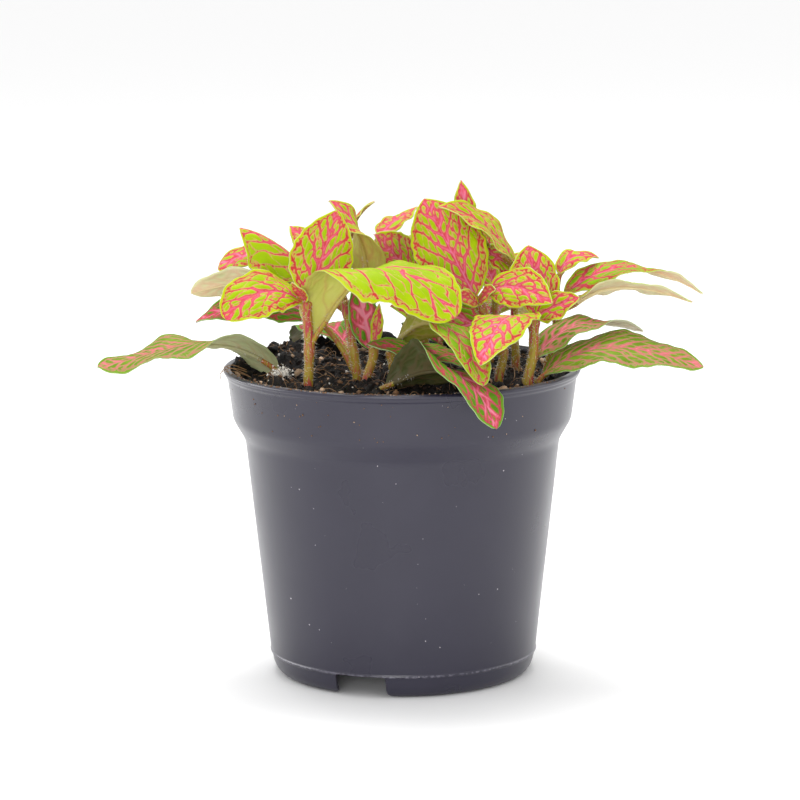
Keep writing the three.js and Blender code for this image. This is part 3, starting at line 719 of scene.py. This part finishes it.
def leafy_stem(name, foot, radius, up, leaves, seed):
    """One whole leafy stem: stem, petioles, ridges, blades and hairs."""
    draw = default_rng(seed)
    ages = {shape["age"] for shape in leaves}
    skins = [skin for age in sorted(ages) for skin in SKINS[age]]
    piece = Piece(skins + [STEM_SKIN, HAIR], ["vein", "edge", "reach", "pink", "pale"])
    if up:
        path = smooth_path([(*foot, 88.5), (*foot, SOIL_TOP)] + up)
        radii = radius * (0.92 + 0.06 * waves(path, 7, seed))
        swelling = 0.5 / len(leaves) ** 0.5
        for shape in leaves:
            near = np.linalg.norm(path - shape["base"], axis=1) / 2.2
            radii += swelling * np.exp(-near ** 2)
        radii[-1] *= 0.6
        points, faces = tube(path, radii, 20)
        high = np.clip((points[:, 2] - 104) / 12, 0.25, 1.2)
        low = np.clip((108 - points[:, 2]) / 6, 0, 0.9)
        piece.take(points, faces, STEM_SKIN, pink=np.maximum(high, low))
        buried = 15  # points of the path, about 12 mm
        fuzz(piece, path[buried:], radii[buried:], 9, draw, 1.6)
    else:
        path = smooth_path([(*foot, 88.5), (*foot, 96), (*foot, 101.5)])
        piece.take(*tube(path, radius, 16), STEM_SKIN, pink=0.5)
    for i, shape in enumerate(leaves):
        petiole = shape["petiole"]
        facing, u = blade(piece, shape, seed + 17 * i)
        thick = 1.0 if shape["width"] > 9 else 0.65
        share = np.linspace(0, 1, 60)
        path = midrib(shape, share)[0]
        under = np.stack([np.interp(share, u, facing[:, k]) for k in range(3)], -1)
        radii = thick * np.interp(share, [0, petiole, petiole + 0.2, 1], [1.05, 0.95, 0.62, 0.12])
        covered = np.clip((share - petiole) / 0.08, 0, 1)[:, None]
        path = path - under * (0.9 * radii[:, None] + 0.35) * covered
        bare = max(3, int(len(share) * (petiole + 0.12)))
        piece.take(*tube(path[:bare], radii[:bare], 12), STEM_SKIN, pink=0.7)
        piece.take(*tube(path[bare - 2:], radii[bare - 2:], 12), SKINS[shape["age"]][1],
                   vein=-0.3, pale=shape["pale"])
        carried = share < petiole + 0.25
        fuzz(piece, path[carried], radii[carried], 3.5, draw, 1.1)
    slot = "old_leaf" if ages & {"old", "faded"} else "young_leaf"
    piece.make("leafy_" + name, name, slot=slot)


for number, (name, stem) in enumerate(STEMS.items()):
    leafy_stem(name, *stem, 100 * number + 7)

# %% [markdown]
# ## Peat
# Potting peat is black-brown, loose and fibrous. Its surface is a disc of fine rings raised by
# noise, with crumbs of two sizes scattered over it. Grains of tan pumice, white perlite and bark
# lie between them, and dry rootlets. The block under it is plain, as only the drain holes show it.

# %% Soil materials
def peat(tree, place):
    """Black-brown peat, lighter where a crumb's own tone is."""
    tone = add(tree, "Attribute", attribute_name="tone").outputs["Fac"]
    patch = add(tree, "TexNoise", {"Vector": place, "Scale": 500, "Detail": 4})  # 2 mm
    mixed = add(tree, "Math", [patch, tone], operation="ADD")
    brown = add(tree, "ValToRGB", {"Fac": mixed},
                stops=[(0.35, "#0A0807"), (1.0, "#765840"), (0.6, "#191411"), (0.8, "#3C2D26")])
    grit = add(tree, "TexNoise", {"Vector": place, "Scale": 2200, "Detail": 3})  # 0.5 mm
    bump = add(tree, "Bump", {"Height": grit, "Strength": 0.8, "Distance": 0.0006})
    return add(tree, "BsdfPrincipled", {"Base Color": brown, "Roughness": 0.7,
                                        "Specular IOR Level": 0.2, "Normal": bump})


PEAT = material("damp_peat", peat)
PUMICE = material("tan_pumice", plain, "#C9A98C", 0.85)
PERLITE = material("white_perlite", plain, "#F1ECE4", 0.8)
ROOTLET = material("dry_rootlet", plain, "#94704A", 0.7)
BARK = material("brown_bark", plain, "#7A5636", 0.8)

# %% Soil surface
def soil_height(x, y):
    """The level of the soil solid's top in the frame, in mm."""
    height = 0.8 * np.sin(0.21 * x + 0.4) * np.cos(0.17 * y - 0.3)
    height += 0.7 * np.sin(0.37 * y + 0.29 * x + 1.1) + 0.8 * np.cos(0.5 * x - 0.4 * y)
    height += 0.7 * np.sin(0.18 * x + 0.58 * y + 2)
    height += SOIL_TOP - 1.5 * np.maximum(0, (x - y) / 60 - 0.4) + 5 * np.maximum(0, (y - x) / 60 - 0.4)
    for (foot_x, foot_y), *_ in STEMS.values():
        near = np.hypot(x - foot_x, y - foot_y) / 10
        low = np.minimum(height, SOIL_TOP - 1)
        height = np.where(near < 1, low + (height - low) * near ** 2, height)
    return height


def fine_soil_height(x, y):
    """The same level with clods added, calm where it meets the pot's wall."""
    flat = np.stack([x, y], -1)
    rough = 0.8 * waves(flat, 6, 31) + 0.5 * waves(flat, 2.8, 32) + 0.3 * waves(flat, 1.5, 33, 12)
    calm = np.clip((56.7 - np.hypot(x, y)) / 1.5, 0, 1)
    return soil_height(x, y) + 0.2 + rough * calm


SOIL_TURNS = 300
rings = np.concatenate([np.linspace(0.1, 52, 88), np.linspace(52.6, 56.6, 8)])
turns = 2 * np.pi * np.arange(SOIL_TURNS) / SOIL_TURNS
x = rings[:, None] * np.cos(turns)
y = rings[:, None] * np.sin(turns)
surface = np.stack([x, y, fine_soil_height(x, y)], -1)
block = [(56.5, 97.5), (55.1, 87), (51.1, 80.1), (43.5, 9), (0.1, 9)]
walls = np.array([[(r * math.cos(a), r * math.sin(a), z) for a in turns] for r, z in block])
soil = Piece([PEAT], ["tone"])
quads = grid_faces(len(rings) + len(block), SOIL_TURNS, closed=True)
soil.take(np.concatenate([surface, walls]), quads, PEAT)


# %% Crumbs and grains
def lump(subdivisions):
    """Points and triangles of a round lump, to be squeezed and turned."""
    ball = bmesh.new()
    bmesh.ops.create_icosphere(ball, subdivisions=subdivisions, radius=1)
    points = np.array([vertex.co[:] for vertex in ball.verts])
    faces = np.array([[vertex.index for vertex in face.verts] for face in ball.faces])
    ball.free()
    return points, faces


def lumps_at(piece, material, places, radius, subdivisions, draw, tones=(0, 0)):
    """Squeezed, turned lumps at the given places, with one radius each."""
    count = len(places)
    ball, faces = lump(subdivisions)
    basis = np.linalg.qr(draw.normal(size=(count, 3, 3)))[0]
    squeeze = draw.uniform(0.55, 1.15, (count, 1, 3))
    knobbly = 1 + 0.3 * np.sin(3 * ball @ draw.normal(size=(3, 1)) + draw.uniform(0, 6, (count, 1, 1)))
    points = (ball[None] * squeeze * knobbly * radius[:, None, None]) @ basis + places[:, None]
    tone = np.repeat(draw.uniform(*tones, count), len(ball))
    index = faces[None] + len(ball) * np.arange(count)[:, None, None]
    piece.take(points, index.reshape(-1, 3), material, tone=tone)


def scatter(piece, material, count, sizes, subdivisions, seed, sunk=0.3, tones=(-0.1, 0.25), spread=55.8):
    """Strews lumps with radii between two sizes over the soil."""
    draw = default_rng(seed)
    radius = sizes[0] + (sizes[1] - sizes[0]) * draw.random(count) ** 3
    away = spread * np.sqrt(draw.random(count))
    turn = draw.uniform(0, 2 * np.pi, count)
    x, y = away * np.cos(turn), away * np.sin(turn)
    places = np.stack([x, y, fine_soil_height(x, y) + (0.5 - sunk) * radius], -1)
    lumps_at(piece, material, places, radius, subdivisions, draw, tones)


def spill(piece, material, count, sizes, seed):
    """Fine crumbs that were spilt on the pot's lip, and a few that stick to its collar."""
    draw = default_rng(seed)
    radius = draw.uniform(*sizes, count)
    turn = draw.normal(-1.9, 0.7, count)
    on_lip = draw.random(count) < 0.8
    low = draw.uniform(88, 101, count)
    away = np.where(on_lip, draw.uniform(57.9, 59.6, count), 56.95 + (low - 86.8) * 0.127)
    height = np.where(on_lip, 104.0, low)
    places = np.stack([away * np.cos(turn), away * np.sin(turn), height], -1)
    lumps_at(piece, material, places, radius, 1, draw)


scatter(soil, PEAT, 420, (0.6, 1.7), 2, 41)
scatter(soil, PEAT, 3000, (0.25, 0.9), 1, 42, tones=(-0.15, 0.45))
soil.make("peat_soil", "soil", slot="soil")

grains = Piece([PUMICE, PERLITE, BARK])
scatter(grains, PUMICE, 90, (0.5, 1.9), 2, 43)
scatter(grains, PERLITE, 110, (0.2, 0.7), 1, 44, sunk=-0.2)
scatter(grains, BARK, 420, (0.3, 1.2), 1, 45, sunk=-0.2)
spill(grains, BARK, 150, (0.12, 0.42), 46)
spill(grains, PUMICE, 60, (0.1, 0.3), 47)
grains.make("pumice_and_perlite", slot="soil")


# %% Rootlets
def rootlets(piece, count, seed):
    """Thin dry roots and fibres that lie on the soil in low arcs."""
    draw = default_rng(seed)
    for _ in range(count):
        away, turn, heading = 52 * math.sqrt(draw.random()), draw.uniform(0, 6.28), draw.uniform(0, 6.28)
        length, bow, rise = draw.uniform(4, 16), draw.uniform(-0.5, 0.5), draw.uniform(0.2, 2.2)
        w = np.linspace(0, 1, 12)
        bearing = heading + bow * (w - 0.5) * 4
        steps = np.stack([np.cos(bearing), np.sin(bearing)], -1) * length / 12
        flat = np.cumsum(steps, 0) + [away * math.cos(turn), away * math.sin(turn)]
        far = np.hypot(flat[:, 0], flat[:, 1])[:, None]
        flat = flat * np.minimum(1, 55 / np.maximum(far, 1))
        z = fine_soil_height(flat[:, 0], flat[:, 1]) + 0.5 + rise * np.sin(np.pi * w)
        z = np.convolve(np.pad(z, 2, mode="edge"), np.ones(5) / 5, mode="valid")
        radii = draw.uniform(0.07, 0.17) * (1 - 0.6 * w)
        piece.take(*tube(np.column_stack([flat, z]), radii, 5), ROOTLET)


roots = Piece([ROOTLET, HAIR])
rootlets(roots, 150, 51)
# A few roots hang over the rim at the left, and two stand up as arcs.
for radius, knots in (
    (0.22, [(-50, -10, 103), (-55, -12, 105), (-58.5, -13, 105), (-62, -13, 102.5)]),
    (0.16, [(-51, -14, 103), (-56, -15, 105.5), (-59.5, -14, 106), (-61.5, -15, 104)]),
    (0.2, [(-52, -8, 104), (-57, -10, 106), (-60, -9, 104), (-60.8, -10, 101)]),
    (0.1, [(-50, -18, 103), (-54, -20, 105), (-58.5, -17, 105), (-60.6, -19, 102)]),
    (0.15, [(-45, -22, 101), (-43, -26, 107), (-40, -31, 107), (-37, -36, 101)]),
    (0.18, [(-30, -36, 101), (-24, -40, 103), (-20, -46, 102), (-16, -50, 101)]),
):
    path = smooth_path(knots, 0.6)
    roots.take(*tube(path, radius * np.linspace(1, 0.4, len(path)), 5), ROOTLET)
# A tuft of white root fluff lies at the foot of the leaf at the left.
draw = default_rng(52)
tuft = draw.normal(size=(300, 3)) * (1.4, 1.3, 1.1) + (-40, -17, 103.8)
lumps_at(roots, HAIR, tuft, draw.uniform(0.15, 0.5, 300), 1, draw)
hairs(roots, tuft, unit(draw.normal(size=(300, 3))), draw, 2.6)
roots.make("rootlets", slot="soil")

# %% [markdown]
# ## Nursery pot
# The pot is moulded from grey polypropylene, a satin, slightly waxy plastic, with specks of dust
# and a bead above the foot that is rubbed pale. Its wall is a profile turned about the axis with
# every corner rounded, and the notches and drain holes are cut out of it.

# %% Pot profile
def rounded(corners):
    """Points of an outline through (radius, height, fillet) corners, with its corners rounded."""
    points = []
    for i, (*here, fillet) in enumerate(corners):
        here = np.array(here)
        if fillet == 0 or i in (0, len(corners) - 1):
            points.append(here)
            continue
        ends = []
        for other in (corners[i - 1], corners[i + 1]):
            way = np.array(other[:2]) - here
            ends.append(here + way * min(fillet / np.linalg.norm(way), 0.5))
        for w in (0, 0.25, 0.5, 0.75, 1):
            points.append((1 - w) ** 2 * ends[0] + 2 * w * (1 - w) * here + w * w * ends[1])
    return np.array(points)


FLOOR = 7.3
POT = rounded([
    (0.1, FLOOR, 0), (43.3, FLOOR, 0.6), (42.7, 3.6, 1.5), (39.9, 0, 0.3), (41, 0, 0.5), (42.6, 1, 1),
    (43.9, 3.1, 1.5), (44.7, 6.8, 0.4), (45.2, 7.2, 0.3), (45.2, 7.6, 0.3), (45, 8, 0.4),
    (52.9, 79.9, 1.6), (56.9, 86.8, 1.6), (58.7, 101, 0.5), (59.4, 101.5, 0.5), (59.6, 102.4, 0.3),
    (60, 102.8, 0.3), (60, 103.5, 0.4), (59.3, 104, 0.5), (57.6, 104, 0.6), (57.4, 101, 1),
    (55.7, 86.9, 1.5), (51.7, 80.2, 1.5), (43.9, FLOOR + 1.2, 1), (0.1, FLOOR + 1.2, 0),
])


def polypropylene(tree, place):
    """Dark violet-grey plastic with a satin gloss, dust and a scuffed bead."""
    cloud = add(tree, "TexNoise", {"Vector": place, "Scale": 45, "Detail": 3})  # 22 mm
    body = add(tree, "Mix", {0: cloud, 6: "#211F2E", 7: "#2A2837"})
    patches = add(tree, "TexNoise", {"Vector": place, "Scale": 55, "Detail": 2})  # 18 mm
    specks = add(tree, "TexVoronoi", {"Vector": place, "Scale": 300})  # 3 mm apart
    size = add(tree, "MapRange", [patches, 0.45, 0.75, 0, 0.1])
    dust = add(tree, "Math", [specks, size], operation="LESS_THAN")
    dusty = add(tree, "Mix", {0: dust, 6: body, 7: "#B4AEB4"})
    height = add(tree, "SeparateXYZ", {"Vector": place}).outputs["Z"]
    near_bead = add(tree, "Math", [height, 0.0074, 0.0004], operation="COMPARE")
    rubbed = add(tree, "TexNoise", {"Vector": place, "Scale": 900, "Detail": 3})  # 1.1 mm
    worn = add(tree, "MapRange", [rubbed, 0.42, 0.62])
    scuff = add(tree, "Math", [near_bead, worn], operation="MULTIPLY")
    scuffed = add(tree, "Mix", {0: scuff, 6: dusty, 7: "#585662"})
    grain = add(tree, "TexNoise", {"Vector": place, "Scale": 700, "Detail": 4})  # 1.4 mm
    rough = add(tree, "MapRange", [cloud, 0.3, 0.7, 0.26, 0.34])
    bump = add(tree, "Bump", {"Height": grain, "Strength": 0.15, "Distance": 0.00005})
    return add(tree, "BsdfPrincipled", {"Base Color": scuffed, "Roughness": rough,
                                         "IOR": 1.49, "Normal": bump})


# %% Pot with its notches and drain holes
POT_TURNS = 240


def cutter(first, last, turn):
    """A solid between two outlines, turned about the pot's axis. Its first outline is inmost."""
    n = len(first)
    sides = [(i, (i + 1) % n, n + (i + 1) % n, n + i) for i in range(n)]
    mesh = bpy.data.meshes.new("cutter")
    mesh.from_pydata([(x * MM, y * MM, z * MM) for x, y, z in first + last], [],
                     [tuple(range(n))[::-1], tuple(range(n, 2 * n))] + sides)
    made = new_object("cutter", mesh)
    made.rotation_euler[2] = turn
    return made


def cut_away(target, cutters):
    """Cuts the cutters' shapes out of an object for good, and deletes them."""
    for tool in cutters:
        cut = target.modifiers.new("cut", "BOOLEAN")
        cut.operation, cut.object = "DIFFERENCE", tool
    bpy.context.view_layer.update()
    result = bpy.data.meshes.new_from_object(target.evaluated_get(bpy.context.evaluated_depsgraph_get()))
    target.modifiers.clear()
    target.data = result
    for tool in cutters:
        bpy.data.objects.remove(tool)
    result.set_sharp_from_angle(angle=math.radians(50))


def disc(x, y, z, radius, sides=32):
    """Points of a level circle, as one end of a cutter."""
    turns = 2 * np.pi * np.arange(sides) / sides
    return [(x + radius * math.cos(a), y + radius * math.sin(a), z) for a in turns]


turns = 2 * np.pi * np.arange(POT_TURNS) / POT_TURNS
shell = np.stack([POT[:, :1] * np.cos(turns), POT[:, :1] * np.sin(turns),
                  np.repeat(POT[:, 1:], POT_TURNS, 1)], -1)
PLASTIC = material("grey_polypropylene", polypropylene)
pot_piece = Piece([PLASTIC])
quads = grid_faces(len(POT) + 1, POT_TURNS, closed=True) % (len(POT) * POT_TURNS)
pot_piece.take(shell, quads, PLASTIC)
pot = pot_piece.make("nursery_pot", "pot", slot="pot")

# Half a notch: square above, and flared below where the ends of the foot ring are rounded.
HALF_NOTCH = [(10.5, -2), (10.5, 0)]
HALF_NOTCH += [(10.5 - 1.8 * math.sin(a), 1.8 - 1.8 * math.cos(a)) for a in np.linspace(0.2, 1.57, 7)]
HALF_NOTCH += [(8.7, FLOOR - 0.8), (8.5, FLOOR - 0.25), (7.9, FLOOR)]
NOTCH = HALF_NOTCH + [(-x, z) for x, z in HALF_NOTCH[::-1]]
holes = [cutter(disc(0, 0, 5, 4), disc(0, 0, 12, 4), 0)]
for turn in (0, 120, 240):
    angle = math.radians(-19 + turn)
    holes.append(cutter([(x, -37, z) for x, z in NOTCH], [(x, -50, z) for x, z in NOTCH], angle))
    holes.append(cutter(disc(0, -30, 5, 4), disc(0, -30, 12, 4), angle))
cut_away(pot, holes)
print("cut out of the pot:", len(holes), "notches and drain holes")
